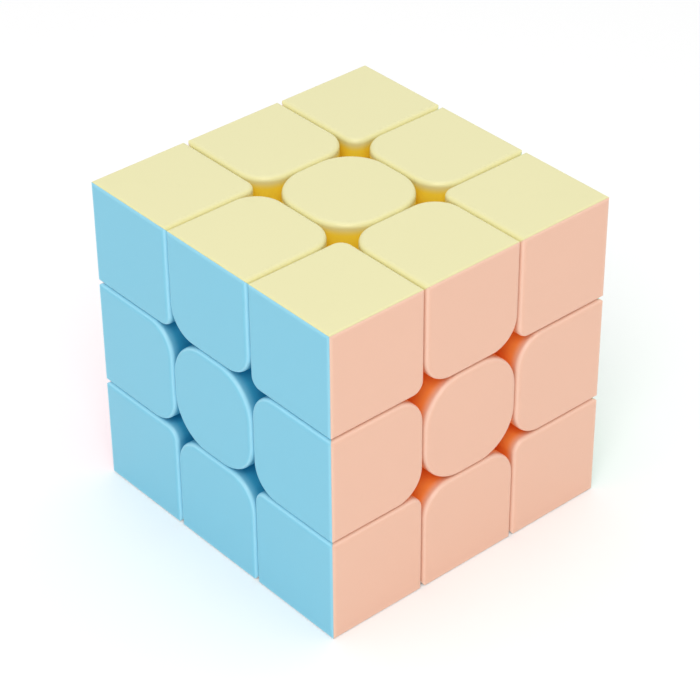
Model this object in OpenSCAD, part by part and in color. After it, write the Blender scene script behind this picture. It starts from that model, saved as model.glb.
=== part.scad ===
// A 3x3x3 cube puzzle whose six layers turn. A six-armed core carries six spring-loaded centres,
// and the centres hold twelve two-colour edge pieces and eight three-colour corner pieces.
// The origin is the middle of the cube, +Z is up and the front face looks along -Y.

/* [Cube] */
// Width of the whole cube, flat face to flat face
cube_width = 56; // [46:0.5:68]
// Width of the middle layer, from gap to gap
middle_width = 19.1; // [15.5:0.1:23]
// Space left between neighbouring pieces
piece_gap = 0.3; // [0.2:0.05:0.5]
// Rounding of the rims where a piece meets its neighbours
rim_round = 0.8; // [0.5:0.1:1.6]
// Rounding of the cube's twelve outer edges
outer_round = 0.5; // [0.3:0.1:1]

/* [Faces] */
// Rounding of the two inner corners of an edge piece's face
edge_face_round = 5.2; // [3.5:0.1:6.5]
// Rounding of the one inner corner of a corner piece's face
corner_face_round = 2.2; // [2:0.1:4]
// Rounding of the four corners of a centre's face
centre_face_round = 7.4; // [6:0.1:9]

/* [Feet and tracks] */
// How far the feet reach outwards past the inner corners of the corner pieces
foot_hold = 3.2; // [2.6:0.1:4]
// Length of the feet, measured outwards from the middle of the cube
foot_length = 6.5; // [5.4:0.1:7.8]
// Angle between a layer's axis and the conical track its feet run in
track_angle = 68; // [66:0.5:70]
// Wall thickness of the hollow corner and edge shells
shell_wall = 1.6; // [1.2:0.1:2.2]
// Hairline between the coloured parts of one piece
seam_gap = 0.02; // [0.01:0.01:0.05]
// Diameter of the pegs that locate the coloured parts of one piece
peg_diameter = 1.6; // [1.2:0.1:2]
// Length of those pegs past the seam
peg_length = 1.6; // [1.2:0.1:2]

/* [Core and centres] */
// Diameter of the ball in the middle of the core
core_diameter = 10.4; // [8:0.1:12.6]
// Distance from the middle of the cube to the end of an arm
arm_length = 6.5; // [6.3:0.1:7.8]
// Diameter of the core's arms
arm_diameter = 7; // [5.8:0.1:8.4]
// Thickness of the centre's floor, which turns on the end of the arm
floor_wall = 1.5; // [1.2:0.1:1.8]
// Wall thickness of the centre's barrel
barrel_wall = 0.8; // [0.6:0.1:1]
// Height of the cap that closes a centre
cap_height = 7; // [5.8:0.1:8.4]
// Depth by which the cap's plug sits in the centre's base
plug_depth = 2; // [1.6:0.1:2.4]
// Diameter of the plug
plug_diameter = 9.6; // [8:0.1:11.5]
// Wall thickness of the plug
plug_wall = 1.1; // [0.9:0.1:1.4]
// Radial play of the plug in its seat and of a peg in its socket
fit_play = 0.05; // [0.02:0.01:0.1]

/* [Screws and springs] */
// Diameter of the screw's shank
screw_diameter = 3; // [2.5:0.1:3.6]
// Diameter of the screw's head
screw_head = 5.4; // [4.5:0.1:6.5]
// Height of the screw's head
head_height = 1.8; // [1.5:0.1:2.2]
// Radial play of the centre on its screw
screw_play = 0.06; // [0.02:0.01:0.1]
// Thickness of the washer under the head
washer_height = 0.6; // [0.5:0.1:0.8]
// Outer diameter of the spring
spring_diameter = 5; // [4.2:0.1:6]
// Thickness of the spring wire
spring_wire = 0.5; // [0.4:0.05:0.6]
// Least distance between two turns of the spring's open part
spring_pitch = 1.6; // [1.3:0.1:2]

/* [Colours] */
// Colour of the top face
top_colour = "#f5eeae";
// Colour of the front face
front_colour = "#8fd3ea";
// Colour of the right face
right_colour = "#f7c3a8";
// Colour of the bottom face
bottom_colour = "#f4f2ee";
// Colour of the back face
back_colour = "#a8e0b8";
// Colour of the left face
left_colour = "#f3b3cc";
// Colour of the core
core_colour = "#d9dde0";
// Colour of the screws and washers
screw_colour = "#b9bcc0";
// Colour of the springs
spring_colour = "#9a9da1";

/* [Hidden] */
TOP = [0, 0, 1];
BOTTOM = [0, 0, -1];
FRONT = [0, -1, 0];
BACK = [0, 1, 0];
LEFT = [-1, 0, 0];
RIGHT = [1, 0, 0];
SIDES = [TOP, BOTTOM, FRONT, BACK, LEFT, RIGHT];

half_width = cube_width / 2;
// Every surface stands back by half the gap from the surface its neighbour slides along
slack = piece_gap / 2;
// Outer layers start here, and the middle layer ends at middle_half
layer_start = middle_width / 2 + slack;
middle_half = middle_width / 2 - slack;
track_outer = sqrt(3) * layer_start + foot_hold;
track_inner = track_outer - foot_length;
// Moves a cone's tip along its axis so that its side moves by the slack
tip_shift = slack / sin(track_angle);
// Taller than the sphere that the feet reach
cone_height = 1.3 * track_outer;
// Large enough to reach past the whole cube in every direction
reach = 2 * cube_width;
// How far a cutting shape stands past what it cuts
spare = 1;

// Play of a screw in its thread, of a washer on a screw and of a screw's head in the barrel
thread_play = 0.02;
washer_play = 0.1;
head_play = 0.3;
// Room past a screw's end, above its head and past a peg's end
tip_room = 0.3;
head_room = 0.5;
peg_room = 0.2;
// Keeps the parts that are stacked in a centre just clear of each other
stack_gap = 0.03;
// Depth by which a peg is rooted in its own part
peg_root = 0.5;

shank_radius = screw_diameter / 2;
head_radius = screw_head / 2;
spring_radius = spring_diameter / 2;
wire_radius = spring_wire / 2;
washer_radius = max(head_radius, spring_radius);
bore_radius = washer_radius + head_play;
barrel_radius = bore_radius + barrel_wall;
plug_radius = plug_diameter / 2;

// Heights along a centre's axis, measured from the middle of the cube
screw_end = arm_length / 2;
floor_low = arm_length + slack;
floor_top = floor_low + floor_wall;
cap_low = half_width - cap_height;
plug_low = cap_low - plug_depth;
head_top = plug_low - head_room;
washer_top = head_top - head_height - stack_gap;
spring_low = floor_top + stack_gap;
spring_top = washer_top - washer_height - stack_gap;

// Where the pegs cross the seams, halfway up the feet
foot_middle = (track_inner + track_outer) / 2;
corner_peg = foot_middle * [0.622, 0.475, 0.622];
edge_peg = foot_middle * [0.683, 0.258, 0.683];

// The spring's wire, laid out as rings of points, with one closed turn at each end
spring_travel = spring_top - spring_low - spring_wire;
closed_turn = 1.05 * spring_wire;
open_travel = spring_travel - 2 * closed_turn;
open_turns = max(1, floor(open_travel / spring_pitch));
spring_turns = open_turns + 2;
ring_steps = 12;
wire_sides = 6;
spring_rings = spring_turns * ring_steps;

$fn = 64;

// ---- Building blocks ----

// What a rounded corner of radius r removes, for a corner at the origin that opens to +X +Y
module corner_notch(r) {
  difference() {
    translate([-spare, -spare]) square(r + spare);
    translate([r, r]) circle(r);
  }
}

// A rectangle whose corners are rounded by rounds, anticlockwise from the low corner
module rounded_rectangle(low, high, rounds) {
  difference() {
    translate(low) square(high - low);
    translate(low) corner_notch(rounds[0]);
    translate([high.x, low.y]) rotate(90) corner_notch(rounds[1]);
    translate(high) rotate(180) corner_notch(rounds[2]);
    translate([low.x, high.y]) rotate(270) corner_notch(rounds[3]);
  }
}

// Turns +X, +Y and +Z to the directions a, b and n
module turned_to(a, b, n) {
  multmatrix([
    [a.x, b.x, n.x, 0],
    [a.y, b.y, n.y, 0],
    [a.z, b.z, n.z, 0],
    [0, 0, 0, 1]
  ]) children();
}

// Turns +Z to this side's direction
module facing(side) {
  aside = side.z == 0 ? TOP : RIGHT;
  turned_to(aside, cross(side, aside), side) children();
}

// The conical track of the layer whose axis is +Z, moved along that axis by shift
module track_cone(shift) {
  translate([0, 0, shift]) cylinder(h = cone_height, r1 = 0, r2 = cone_height * tan(track_angle));
}

// Room that a foot belonging to the layer may fill
module inside_track() {
  track_cone(tip_shift);
}

// Room that a foot outside the layer must leave free
module outside_track() {
  track_cone(-tip_shift);
}

// Half-space on this face's side of the seam towards +X
module seam_to_x() {
  rotate([0, -45, 0]) translate([-reach, -reach, seam_gap / 2]) cube(2 * reach);
}

// Half-space on this face's side of the seam towards +Y
module seam_to_y() {
  rotate([45, 0, 0]) translate([-reach, -reach, seam_gap / 2]) cube(2 * reach);
}

// Removes what stands proud of a rounded rim that runs around a rounded corner of radius r
module curved_rim(r) {
  difference() {
    translate([-r - spare, -r - spare, -rim_round]) cube([r + spare, r + spare, rim_round + spare]);
    translate([0, 0, -rim_round]) rotate_extrude() rim_profile(r);
  }
}

module rim_profile(r) {
  difference() {
    square([r, rim_round]);
    translate([r, rim_round]) rotate(180) corner_notch(rim_round);
  }
}

module tube(low, high, outer, bore) {
  translate([0, 0, low]) difference() {
    cylinder(h = high - low, r = outer);
    translate([0, 0, -spare]) cylinder(h = high - low + 2 * spare, r = bore);
  }
}

// ---- Corner pieces ----
// Modelled for the top face of the corner in the +X +Y +Z direction

module corner_outline() {
  rounded_rectangle(
    [layer_start, layer_start],
    [half_width, half_width],
    [corner_face_round, rim_round, outer_round, rim_round]
  );
}

module corner_column() {
  linear_extrude(half_width + spare) corner_outline();
}

module corner_block() {
  intersection() {
    corner_column();
    turned_to(BACK, TOP, RIGHT) corner_column();
    turned_to(TOP, RIGHT, BACK) corner_column();
  }
}

module corner_hollow() {
  difference() {
    translate([1, 1, 1] * (layer_start + shell_wall)) cube(half_width - layer_start - 2 * shell_wall);
    sphere(track_outer);
  }
}

module corner_foot() {
  difference() {
    intersection() {
      sphere(track_outer - slack);
      inside_track();
      turned_to(BACK, TOP, RIGHT) inside_track();
      turned_to(TOP, RIGHT, BACK) inside_track();
    }
    sphere(track_inner + slack);
  }
}

module corner_solid() {
  difference() {
    corner_block();
    corner_hollow();
  }
  corner_foot();
}

module corner_part() {
  inset = layer_start + corner_face_round;
  difference() {
    intersection() {
      corner_solid();
      seam_to_x();
      seam_to_y();
    }
    translate([inset, inset, half_width]) curved_rim(corner_face_round);
    translate([corner_peg.y, corner_peg.x, corner_peg.z]) rotate([45, 0, 0]) peg_socket();
  }
  translate(corner_peg) rotate([0, 135, 0]) peg();
}

module peg() {
  translate([0, 0, -peg_root]) cylinder(h = peg_root + peg_length, d = peg_diameter);
}

module peg_socket() {
  translate([0, 0, -spare]) cylinder(h = spare + peg_length + peg_room, d = peg_diameter + 2 * fit_play);
}

// The part of a corner piece that carries one face, with the piece's two other faces in any order
module corner_third(face, other, third) {
  right_handed = cross(other, third) * face > 0;
  turned_to(right_handed ? other : third, right_handed ? third : other, face) corner_part();
}

// ---- Edge pieces ----
// Modelled for the top face of the edge in the +X +Z direction

module edge_face_outline() {
  rounded_rectangle(
    [layer_start, -middle_half],
    [half_width, middle_half],
    [edge_face_round, rim_round, rim_round, edge_face_round]
  );
}

module edge_end_outline() {
  rounded_rectangle(
    [layer_start, layer_start],
    [half_width, half_width],
    [rim_round, rim_round, outer_round, rim_round]
  );
}

module edge_block() {
  intersection() {
    linear_extrude(half_width + spare) edge_face_outline();
    turned_to(TOP, FRONT, RIGHT) linear_extrude(half_width + spare) edge_face_outline();
    turned_to(RIGHT, TOP, FRONT) linear_extrude(cube_width, center = true) edge_end_outline();
  }
}

module edge_hollow() {
  side = half_width - layer_start - 2 * shell_wall;
  difference() {
    translate([layer_start + shell_wall, shell_wall - middle_half, layer_start + shell_wall])
      cube([side, 2 * (middle_half - shell_wall), side]);
    sphere(track_outer + piece_gap + shell_wall);
  }
}

module edge_foot() {
  difference() {
    intersection() {
      sphere(track_outer - slack);
      inside_track();
      turned_to(BACK, TOP, RIGHT) inside_track();
    }
    sphere(track_inner + slack);
    turned_to(TOP, RIGHT, BACK) outside_track();
    turned_to(RIGHT, TOP, FRONT) outside_track();
  }
}

// Clears the tracks of the layers on both sides of a middle piece, for a layer along +Y
module side_track_room() {
  intersection() {
    sphere(track_outer + slack);
    turned_to(TOP, RIGHT, BACK) outside_track();
  }
}

module edge_solid() {
  difference() {
    edge_block();
    side_track_room();
    mirror([0, 1, 0]) side_track_room();
    edge_hollow();
  }
  edge_foot();
}

module edge_curved_rim() {
  translate([layer_start + edge_face_round, edge_face_round - middle_half, half_width])
    curved_rim(edge_face_round);
}

module edge_part() {
  difference() {
    intersection() {
      edge_solid();
      seam_to_x();
    }
    edge_curved_rim();
    mirror([0, 1, 0]) edge_curved_rim();
    translate([edge_peg.x, -edge_peg.y, edge_peg.z]) rotate([0, -45, 0]) peg_socket();
  }
  translate(edge_peg) rotate([0, 135, 0]) peg();
}

// The half of an edge piece that carries one face, with the other face of the same piece
module edge_half(face, other) {
  turned_to(other, cross(face, other), face) edge_part();
}

// ---- Centres ----
// Modelled along +Z: a base that turns on the screw, and a rounded cap that closes it

module centre_outline() {
  corner = [middle_half, middle_half];
  rounded_rectangle(-corner, corner, [1, 1, 1, 1] * centre_face_round);
}

// Outline of a centre and the one opposite, seen from the side, with the rims of both faces rounded
module centre_side_outline() {
  corner = [middle_half, half_width];
  rounded_rectangle(-corner, corner, [1, 1, 1, 1] * rim_round);
}

module centre_block() {
  inset = middle_half - centre_face_round;
  difference() {
    intersection() {
      translate([0, 0, layer_start]) linear_extrude(half_width) centre_outline();
      turned_to(RIGHT, TOP, FRONT) linear_extrude(cube_width, center = true) centre_side_outline();
      turned_to(BACK, TOP, RIGHT) linear_extrude(cube_width, center = true) centre_side_outline();
    }
    for (turn = [0:90:270])
      rotate(turn) translate([-inset, -inset, half_width]) curved_rim(centre_face_round);
  }
}

module centre_body() {
  difference() {
    centre_block();
    for (turn = [0:90:270])
      rotate(turn) side_track_room();
    sphere(track_inner + slack);
  }
}

module centre_base() {
  difference() {
    union() {
      intersection() {
        centre_body();
        translate([0, 0, cap_low / 2]) cube([cube_width, cube_width, cap_low], center = true);
      }
      translate([0, 0, floor_low]) cylinder(h = track_inner + spare - floor_low, r = barrel_radius);
    }
    translate([0, 0, floor_low - spare])
      cylinder(h = floor_wall + 2 * spare, r = shank_radius + screw_play);
    translate([0, 0, floor_top]) cylinder(h = cap_low - floor_top + spare, r = bore_radius);
    translate([0, 0, plug_low - fit_play])
      cylinder(h = plug_depth + spare, r = plug_radius + fit_play);
  }
}

module centre_cap() {
  difference() {
    union() {
      intersection() {
        centre_body();
        translate([0, 0, cap_low + seam_gap + reach]) cube(2 * reach, center = true);
      }
      translate([0, 0, plug_low]) cylinder(h = plug_depth + spare, r = plug_radius);
    }
    translate([0, 0, plug_low - spare])
      cylinder(h = half_width - shell_wall - plug_low + spare, r = plug_radius - plug_wall);
  }
}

module centre(face) {
  facing(face) {
    centre_base();
    centre_cap();
  }
}

// ---- Core, screws and springs ----

module on_every_side() {
  for (side = SIDES)
    facing(side) children();
}

module core_spider() color(core_colour) {
  difference() {
    union() {
      sphere(d = core_diameter);
      on_every_side() cylinder(h = arm_length, d = arm_diameter);
    }
    on_every_side() translate([0, 0, screw_end - tip_room])
      cylinder(h = arm_length, r = shank_radius + thread_play);
  }
}

module screw() {
  slot_length = 1.1 * head_radius;
  slot_width = 0.2 * head_radius;
  slot_depth = 0.6 * head_height;
  bevel = 0.25 * head_height;
  difference() {
    union() {
      translate([0, 0, screw_end]) cylinder(h = head_top - head_height / 2 - screw_end, r = shank_radius);
      translate([0, 0, head_top - head_height]) cylinder(h = head_height - bevel, r = head_radius);
      translate([0, 0, head_top - bevel]) cylinder(h = bevel, r1 = head_radius, r2 = head_radius - bevel);
    }
    for (turn = [0, 90])
      rotate(turn) translate([-slot_length / 2, -slot_width / 2, head_top - slot_depth])
        cube([slot_length, slot_width, head_height]);
  }
}

module centre_screws() color(screw_colour) {
  on_every_side() screw();
}

module screw_washers() color(screw_colour) {
  on_every_side() tube(washer_top - washer_height, washer_top, washer_radius, shank_radius + washer_play);
}

// Height that the wire has climbed after this many turns
function climbed(turn) =
  turn < 1 ? closed_turn * turn :
  turn > spring_turns - 1 ? spring_travel - closed_turn * (spring_turns - turn) :
  closed_turn + open_travel * (turn - 1) / open_turns;

function wire_point(ring, side) =
  let (
    turn = ring / ring_steps,
    around = 360 * side / wire_sides,
    radius = spring_radius - wire_radius + wire_radius * cos(around)
  )
  [
    radius * cos(360 * turn),
    radius * sin(360 * turn),
    spring_low + wire_radius + climbed(turn) + wire_radius * sin(around)
  ];

module spring() {
  points = [for (ring = [0:spring_rings]) for (side = [0:wire_sides - 1]) wire_point(ring, side)];
  walls = [
    for (ring = [0:spring_rings - 1]) for (side = [0:wire_sides - 1])
      let (a = ring * wire_sides + side, b = ring * wire_sides + (side + 1) % wire_sides)
      [a, a + wire_sides, b + wire_sides, b]
  ];
  start = [for (side = [0:wire_sides - 1]) side];
  end = [for (side = [wire_sides - 1:-1:0]) spring_rings * wire_sides + side];
  polyhedron(points, concat(walls, [start, end]), convexity = 8);
}

module tension_springs() color(spring_colour) {
  on_every_side() spring();
}

// ---- The separate pieces ----

module centre_top() color(top_colour) centre(TOP);
module centre_bottom() color(bottom_colour) centre(BOTTOM);
module centre_front() color(front_colour) centre(FRONT);
module centre_back() color(back_colour) centre(BACK);
module centre_left() color(left_colour) centre(LEFT);
module centre_right() color(right_colour) centre(RIGHT);
module edge_top_front_top_half() color(top_colour) edge_half(TOP, FRONT);
module edge_top_front_front_half() color(front_colour) edge_half(FRONT, TOP);
module edge_top_back_top_half() color(top_colour) edge_half(TOP, BACK);
module edge_top_back_back_half() color(back_colour) edge_half(BACK, TOP);
module edge_bottom_front_bottom_half() color(bottom_colour) edge_half(BOTTOM, FRONT);
module edge_bottom_front_front_half() color(front_colour) edge_half(FRONT, BOTTOM);
module edge_bottom_back_bottom_half() color(bottom_colour) edge_half(BOTTOM, BACK);
module edge_bottom_back_back_half() color(back_colour) edge_half(BACK, BOTTOM);
module edge_top_left_top_half() color(top_colour) edge_half(TOP, LEFT);
module edge_top_left_left_half() color(left_colour) edge_half(LEFT, TOP);
module edge_top_right_top_half() color(top_colour) edge_half(TOP, RIGHT);
module edge_top_right_right_half() color(right_colour) edge_half(RIGHT, TOP);
module edge_bottom_left_bottom_half() color(bottom_colour) edge_half(BOTTOM, LEFT);
module edge_bottom_left_left_half() color(left_colour) edge_half(LEFT, BOTTOM);
module edge_bottom_right_bottom_half() color(bottom_colour) edge_half(BOTTOM, RIGHT);
module edge_bottom_right_right_half() color(right_colour) edge_half(RIGHT, BOTTOM);
module edge_front_left_front_half() color(front_colour) edge_half(FRONT, LEFT);
module edge_front_left_left_half() color(left_colour) edge_half(LEFT, FRONT);
module edge_front_right_front_half() color(front_colour) edge_half(FRONT, RIGHT);
module edge_front_right_right_half() color(right_colour) edge_half(RIGHT, FRONT);
module edge_back_left_back_half() color(back_colour) edge_half(BACK, LEFT);
module edge_back_left_left_half() color(left_colour) edge_half(LEFT, BACK);
module edge_back_right_back_half() color(back_colour) edge_half(BACK, RIGHT);
module edge_back_right_right_half() color(right_colour) edge_half(RIGHT, BACK);
module corner_top_front_left_top_third() color(top_colour) corner_third(TOP, FRONT, LEFT);
module corner_top_front_left_front_third() color(front_colour) corner_third(FRONT, TOP, LEFT);
module corner_top_front_left_left_third() color(left_colour) corner_third(LEFT, TOP, FRONT);
module corner_top_front_right_top_third() color(top_colour) corner_third(TOP, FRONT, RIGHT);
module corner_top_front_right_front_third() color(front_colour) corner_third(FRONT, TOP, RIGHT);
module corner_top_front_right_right_third() color(right_colour) corner_third(RIGHT, TOP, FRONT);
module corner_top_back_left_top_third() color(top_colour) corner_third(TOP, BACK, LEFT);
module corner_top_back_left_back_third() color(back_colour) corner_third(BACK, TOP, LEFT);
module corner_top_back_left_left_third() color(left_colour) corner_third(LEFT, TOP, BACK);
module corner_top_back_right_top_third() color(top_colour) corner_third(TOP, BACK, RIGHT);
module corner_top_back_right_back_third() color(back_colour) corner_third(BACK, TOP, RIGHT);
module corner_top_back_right_right_third() color(right_colour) corner_third(RIGHT, TOP, BACK);
module corner_bottom_front_left_bottom_third() color(bottom_colour) corner_third(BOTTOM, FRONT, LEFT);
module corner_bottom_front_left_front_third() color(front_colour) corner_third(FRONT, BOTTOM, LEFT);
module corner_bottom_front_left_left_third() color(left_colour) corner_third(LEFT, BOTTOM, FRONT);
module corner_bottom_front_right_bottom_third() color(bottom_colour) corner_third(BOTTOM, FRONT, RIGHT);
module corner_bottom_front_right_front_third() color(front_colour) corner_third(FRONT, BOTTOM, RIGHT);
module corner_bottom_front_right_right_third() color(right_colour) corner_third(RIGHT, BOTTOM, FRONT);
module corner_bottom_back_left_bottom_third() color(bottom_colour) corner_third(BOTTOM, BACK, LEFT);
module corner_bottom_back_left_back_third() color(back_colour) corner_third(BACK, BOTTOM, LEFT);
module corner_bottom_back_left_left_third() color(left_colour) corner_third(LEFT, BOTTOM, BACK);
module corner_bottom_back_right_bottom_third() color(bottom_colour) corner_third(BOTTOM, BACK, RIGHT);
module corner_bottom_back_right_back_third() color(back_colour) corner_third(BACK, BOTTOM, RIGHT);
module corner_bottom_back_right_right_third() color(right_colour) corner_third(RIGHT, BOTTOM, BACK);
// ---- Drawing ----

core_spider();
centre_screws();
tension_springs();
screw_washers();
centre_top();
centre_bottom();
centre_front();
centre_back();
centre_left();
centre_right();
edge_top_front_top_half();
edge_top_front_front_half();
edge_top_back_top_half();
edge_top_back_back_half();
edge_bottom_front_bottom_half();
edge_bottom_front_front_half();
edge_bottom_back_bottom_half();
edge_bottom_back_back_half();
edge_top_left_top_half();
edge_top_left_left_half();
edge_top_right_top_half();
edge_top_right_right_half();
edge_bottom_left_bottom_half();
edge_bottom_left_left_half();
edge_bottom_right_bottom_half();
edge_bottom_right_right_half();
edge_front_left_front_half();
edge_front_left_left_half();
edge_front_right_front_half();
edge_front_right_right_half();
edge_back_left_back_half();
edge_back_left_left_half();
edge_back_right_back_half();
edge_back_right_right_half();
corner_top_front_left_top_third();
corner_top_front_left_front_third();
corner_top_front_left_left_third();
corner_top_front_right_top_third();
corner_top_front_right_front_third();
corner_top_front_right_right_third();
corner_top_back_left_top_third();
corner_top_back_left_back_third();
corner_top_back_left_left_third();
corner_top_back_right_top_third();
corner_top_back_right_back_third();
corner_top_back_right_right_third();
corner_bottom_front_left_bottom_third();
corner_bottom_front_left_front_third();
corner_bottom_front_left_left_third();
corner_bottom_front_right_bottom_third();
corner_bottom_front_right_front_third();
corner_bottom_front_right_right_third();
corner_bottom_back_left_bottom_third();
corner_bottom_back_left_back_third();
corner_bottom_back_left_left_third();
corner_bottom_back_right_bottom_third();
corner_bottom_back_right_back_third();
corner_bottom_back_right_right_third();
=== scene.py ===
import bmesh
import bpy
from mathutils import Matrix, Vector


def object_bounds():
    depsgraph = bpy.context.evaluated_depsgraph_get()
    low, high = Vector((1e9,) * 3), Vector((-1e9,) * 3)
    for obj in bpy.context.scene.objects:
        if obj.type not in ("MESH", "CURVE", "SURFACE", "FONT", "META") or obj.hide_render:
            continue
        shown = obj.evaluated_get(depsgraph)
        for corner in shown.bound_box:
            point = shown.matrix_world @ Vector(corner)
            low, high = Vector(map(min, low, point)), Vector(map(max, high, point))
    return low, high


MM = 0.001
BLACK = (0.0, 0.0, 0.0, 1.0)
AXES = ((1, 0, 0), (0, 1, 0), (0, 0, 1))

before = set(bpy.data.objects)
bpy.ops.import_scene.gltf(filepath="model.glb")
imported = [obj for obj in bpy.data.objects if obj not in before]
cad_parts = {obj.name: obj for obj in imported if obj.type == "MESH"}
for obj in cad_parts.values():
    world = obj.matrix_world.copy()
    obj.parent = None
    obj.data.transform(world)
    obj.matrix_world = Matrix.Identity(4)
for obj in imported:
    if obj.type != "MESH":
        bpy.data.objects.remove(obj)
cad_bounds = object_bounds()
scene = bpy.context.scene
scene.view_settings.view_transform = "Standard"

low, high = (Vector(corner) for corner in cad_bounds)
half_width = (high.x - low.x) / 2


# ---- Shader values as expressions ----

class Value:
    """An output that can stand in a sum. Each sum makes one Math node."""

    def __init__(self, shop, socket):
        self.shop = shop
        self.socket = socket

    def sum_of(self, operation, *values):
        return self.shop.node("ShaderNodeMath", {"operation": operation}, dict(enumerate(values)))

    def __add__(self, other):
        return self.sum_of("ADD", self, other)

    def __radd__(self, other):
        return self.sum_of("ADD", other, self)

    def __sub__(self, other):
        return self.sum_of("SUBTRACT", self, other)

    def __rsub__(self, other):
        return self.sum_of("SUBTRACT", other, self)

    def __mul__(self, other):
        return self.sum_of("MULTIPLY", self, other)

    def __rmul__(self, other):
        return self.sum_of("MULTIPLY", other, self)

    def along(self, direction):
        """How far a place lies along a direction."""
        return self.shop.node(
            "ShaderNodeVectorMath", {"operation": "DOT_PRODUCT"}, {0: self, 1: direction}, "Value"
        )

    def size(self):
        return self.sum_of("ABSOLUTE", self)

    def larger(self, other):
        return self.sum_of("MAXIMUM", self, other)

    def rising(self, start, end):
        """0 up to start, 1 from end on, and smooth between."""
        return self.shop.node(
            "ShaderNodeMapRange",
            {"interpolation_type": "SMOOTHSTEP"},
            {"Value": self, "From Min": start, "From Max": end},
        )


class Shop:
    """Makes one material, node by node."""

    def __init__(self, name):
        self.material = bpy.data.materials.new(name)
        self.material.use_nodes = True
        self.tree = self.material.node_tree
        self.tree.nodes.clear()

    def node(self, kind, settings=None, inputs=None, output=0):
        made = self.tree.nodes.new(kind)
        for name, value in (settings or {}).items():
            setattr(made, name, value)
        for name, value in (inputs or {}).items():
            if isinstance(value, Value):
                self.tree.links.new(value.socket, made.inputs[name])
            else:
                made.inputs[name].default_value = value
        return Value(self, made.outputs[output]) if output is not None else None

    def mix(self, share, first, second):
        """Colours mixed by share, 0 for the first and 1 for the second."""
        return self.node("ShaderNodeMix", {"data_type": "RGBA"}, {0: share, 6: first, 7: second}, 2)

    def place(self):
        return self.node("ShaderNodeTexCoord", output="Object")

    def noise(self, scale, detail=2.0):
        return self.node("ShaderNodeTexNoise", {}, {"Vector": self.place(), "Scale": scale, "Detail": detail})

    def relief(self, height, depth):
        return self.node("ShaderNodeBump", {}, {"Strength": 1.0, "Distance": depth, "Height": height})

    def finish(self, inputs):
        surface = self.node("ShaderNodeBsdfPrincipled", {}, inputs)
        self.node("ShaderNodeOutputMaterial", {}, {"Surface": surface}, None)
        return self.material


def screen(red, green, blue):
    """A screen colour, 0 to 255, as the linear colour that shaders take."""
    def linear(channel):
        share = channel / 255
        return share / 12.92 if share <= 0.04045 else ((share + 0.055) / 1.055) ** 2.4
    return (linear(red), linear(green), linear(blue), 1.0)


# ---- Finishes ----

# Depths below a face: where the painted rim highlight starts and ends, and where painted shade, bounce light
# and glow set in down the sides
RIM_HIGHLIGHT_START = (0.03 * MM, 0.25 * MM)
RIM_HIGHLIGHT_END = (0.5 * MM, 1.1 * MM)
SHADE_AND_BOUNCE_DEPTHS = (0.5 * MM, 2.2 * MM)
PAINTED_GLOW_DEPTHS = (0.6 * MM, 2.6 * MM)
# Width of the painted highlight along the cube's outer edges, and its strength next to the painted rim
# highlight's
EDGE_HIGHLIGHT_WIDTH = 0.9 * MM
EDGE_HIGHLIGHT_SHARE = 0.7


def pastel_plastic(name, outward, face, rim_highlight, painted_shade_and_bounce, painted_glow):
    """Satin plastic moulded in one colour. Its rims and the cube's outer edges are painted paler and made a
    little
    glossier, a painted highlight. Down the sides of a piece the colour is painted richer, with a faint
    painted glow:
    painted shade and painted bounce light, standing in for light that bounces from wall to wall and through
    the plastic."""
    shop = Shop(name)
    depth = half_width - shop.place().along(outward)
    drift = shop.noise(60.0, 3.0)
    grain = shop.noise(2600.0)
    ripple = shop.noise(180.0, 1.0)
    paler = tuple(min(1.0, 1.04 * channel) for channel in face)
    moulded = shop.mix(drift * 0.5, face, paler)
    # Painted highlight: a pale band on each rounded rim, standing in for light caught there and offsetting
    # the shade in the creases
    painted_highlight = depth.rising(*RIM_HIGHLIGHT_START) * (1 - depth.rising(*RIM_HIGHLIGHT_END))
    # Painted highlight along the cube's outer edges too, a little weaker than on the rims
    for axis in AXES:
        if not Vector(axis).dot(outward):
            edge_highlight = shop.place().along(axis).size().rising(half_width - EDGE_HIGHLIGHT_WIDTH, half_width)
            painted_highlight = painted_highlight.larger(edge_highlight * EDGE_HIGHLIGHT_SHARE)
    return shop.finish({
        # Painted highlight on the rims and edges, and deeper down painted shade and bounce light in a richer
        # colour
        "Base Color": shop.mix(depth.rising(*SHADE_AND_BOUNCE_DEPTHS), shop.mix(painted_highlight, moulded, rim_highlight), painted_shade_and_bounce),
        "Roughness": 0.36 + drift * 0.10 - painted_highlight * 0.08,
        "Specular IOR Level": 0.5,
        # Painted glow: emission in the pockets stands in for light bounced through the plastic, which is no
        # lamp
        "Emission Color": shop.mix(depth.rising(*PAINTED_GLOW_DEPTHS), BLACK, painted_glow),
        "Emission Strength": 1.0,
        "Normal": shop.relief(grain * 0.4 + ripple * 0.6, 0.004 * MM),
    })


def core_plastic():
    shop = Shop("core_plastic")
    grain = shop.noise(900.0)
    return shop.finish({
        "Base Color": shop.mix(shop.noise(70.0), screen(214, 218, 221), screen(224, 227, 229)),
        "Roughness": 0.42 + grain * 0.1,
        "Normal": shop.relief(grain, 0.01 * MM),
    })


def drawn_steel(name, dark, bright):
    shop = Shop(name)
    streaks = shop.noise(1400.0, 3.0)
    return shop.finish({
        "Base Color": shop.mix(streaks, dark, bright),
        "Metallic": 1.0,
        "Roughness": 0.24 + streaks * 0.14,
    })


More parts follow.
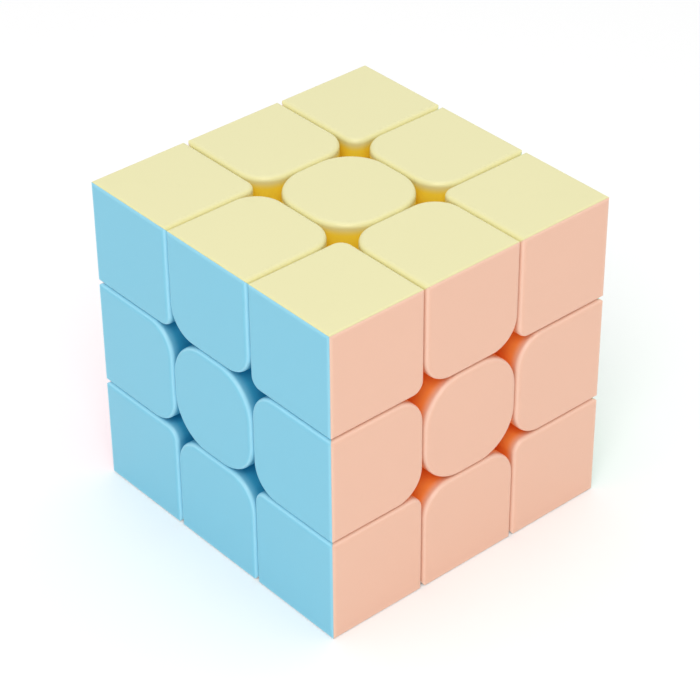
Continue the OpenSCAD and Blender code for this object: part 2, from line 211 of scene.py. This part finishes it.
# For each side: its outward direction, then the colours of its face, its painted rim highlight, the painted
# shade and bounce light on its deep walls, and its painted glow
SIDES = {
    "top": (
        (0, 0, 1), screen(224, 219, 169), screen(230, 224, 166), screen(246, 220, 70), screen(62, 46, 0),
    ),
    "front": (
        (0, -1, 0), screen(122, 196, 220), screen(158, 220, 240), screen(60, 160, 194), screen(0, 40, 60),
    ),
    "right": (
        (1, 0, 0), screen(233, 186, 161), screen(242, 202, 180), screen(250, 158, 78), screen(66, 22, 0),
    ),
    "bottom": (
        (0, 0, -1), screen(232, 230, 224), screen(242, 241, 238), screen(206, 198, 180), screen(30, 27, 20),
    ),
    "back": (
        (0, 1, 0), screen(158, 214, 176), screen(192, 234, 206), screen(64, 172, 112), screen(0, 36, 14),
    ),
    "left": (
        (-1, 0, 0), screen(236, 170, 196), screen(246, 202, 220), screen(224, 84, 140), screen(50, 6, 24),
    ),
}
plastics = {
    side: pastel_plastic(f"{side}_plastic", *looks) for side, looks in SIDES.items()
}
core_finish = core_plastic()
screw_finish = drawn_steel("screw_steel", screen(186, 189, 193), screen(208, 211, 215))
spring_finish = drawn_steel("spring_steel", screen(158, 161, 166), screen(178, 181, 186))


def finish_of(node):
    if node == "core_spider":
        return core_finish
    if node in ("centre_screws", "screw_washers"):
        return screw_finish
    if node == "tension_springs":
        return spring_finish
    kind, *words = node.split("_")
    return plastics[words[0] if kind == "centre" else words[-2]]


# ---- The pieces ----

WELD_DISTANCE = 0.002 * MM


def round_the_wire(springs):
    """Welds the facets of the wire together and subdivides them into a round wire."""
    springs.modifiers.new("join_facets", "WELD").merge_threshold = WELD_DISTANCE
    rounding = springs.modifiers.new("round_wire", "SUBSURF")
    rounding.levels = 1
    rounding.render_levels = 1


for name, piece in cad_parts.items():
    piece.data.materials.clear()
    piece.data.materials.append(finish_of(name))
round_the_wire(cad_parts["tension_springs"])


# ---- Floor, light and camera ----

FLOOR_HALF_WIDTH = 3.0


def make_floor():
    mesh = bpy.data.meshes.new("floor")
    grid = bmesh.new()
    bmesh.ops.create_grid(grid, x_segments=1, y_segments=1, size=FLOOR_HALF_WIDTH)
    grid.to_mesh(mesh)
    grid.free()
    floor = bpy.data.objects.new("floor", mesh)
    scene.collection.objects.link(floor)
    floor.location.z = low.z
    shop = Shop("floor_paper")
    mesh.materials.append(shop.finish({
        "Base Color": shop.mix(shop.noise(4.0), screen(250, 250, 250), screen(254, 254, 254)),
        "Roughness": 0.9,
        "Specular IOR Level": 0.1,
    }))


def make_light(name, place, size, power):
    """A round soft light that looks at the middle of the cube."""
    light = bpy.data.lights.new(name, "AREA")
    light.shape = "DISK"
    light.size = size
    light.energy = power
    lamp = bpy.data.objects.new(name, light)
    lamp.location = place
    lamp.rotation_euler = (-lamp.location).to_track_quat("-Z", "Y").to_euler()
    scene.collection.objects.link(lamp)


def make_world(brightness):
    world = bpy.data.worlds.new("studio")
    world.use_nodes = True
    sky = world.node_tree.nodes["Background"]
    sky.inputs["Color"].default_value = (1.0, 1.0, 1.0, 1.0)
    sky.inputs["Strength"].default_value = brightness
    scene.world = world


def make_camera():
    view = bpy.data.cameras.new("camera")
    view.sensor_width = 36.0
    view.lens = 127.0
    view.clip_start = 0.01
    camera = bpy.data.objects.new("camera", view)
    eye = Vector((0.2429, -0.2099, 0.2231))
    ahead = Vector((-0.6196, 0.5354, -0.5739))
    across = Vector((0.6574, 0.7535, -0.0068))
    above = across.cross(ahead)
    turn = Matrix((across, above, -ahead)).transposed()
    camera.matrix_world = Matrix.Translation(eye) @ turn.to_4x4()
    scene.collection.objects.link(camera)
    scene.camera = camera


make_floor()
make_world(brightness=0.75)
make_light("key", place=(0.35, -0.35, 0.6), size=0.4, power=1.9)
make_light("overhead", place=(0.0, 0.0, 0.8), size=0.5, power=1.0)
make_camera()
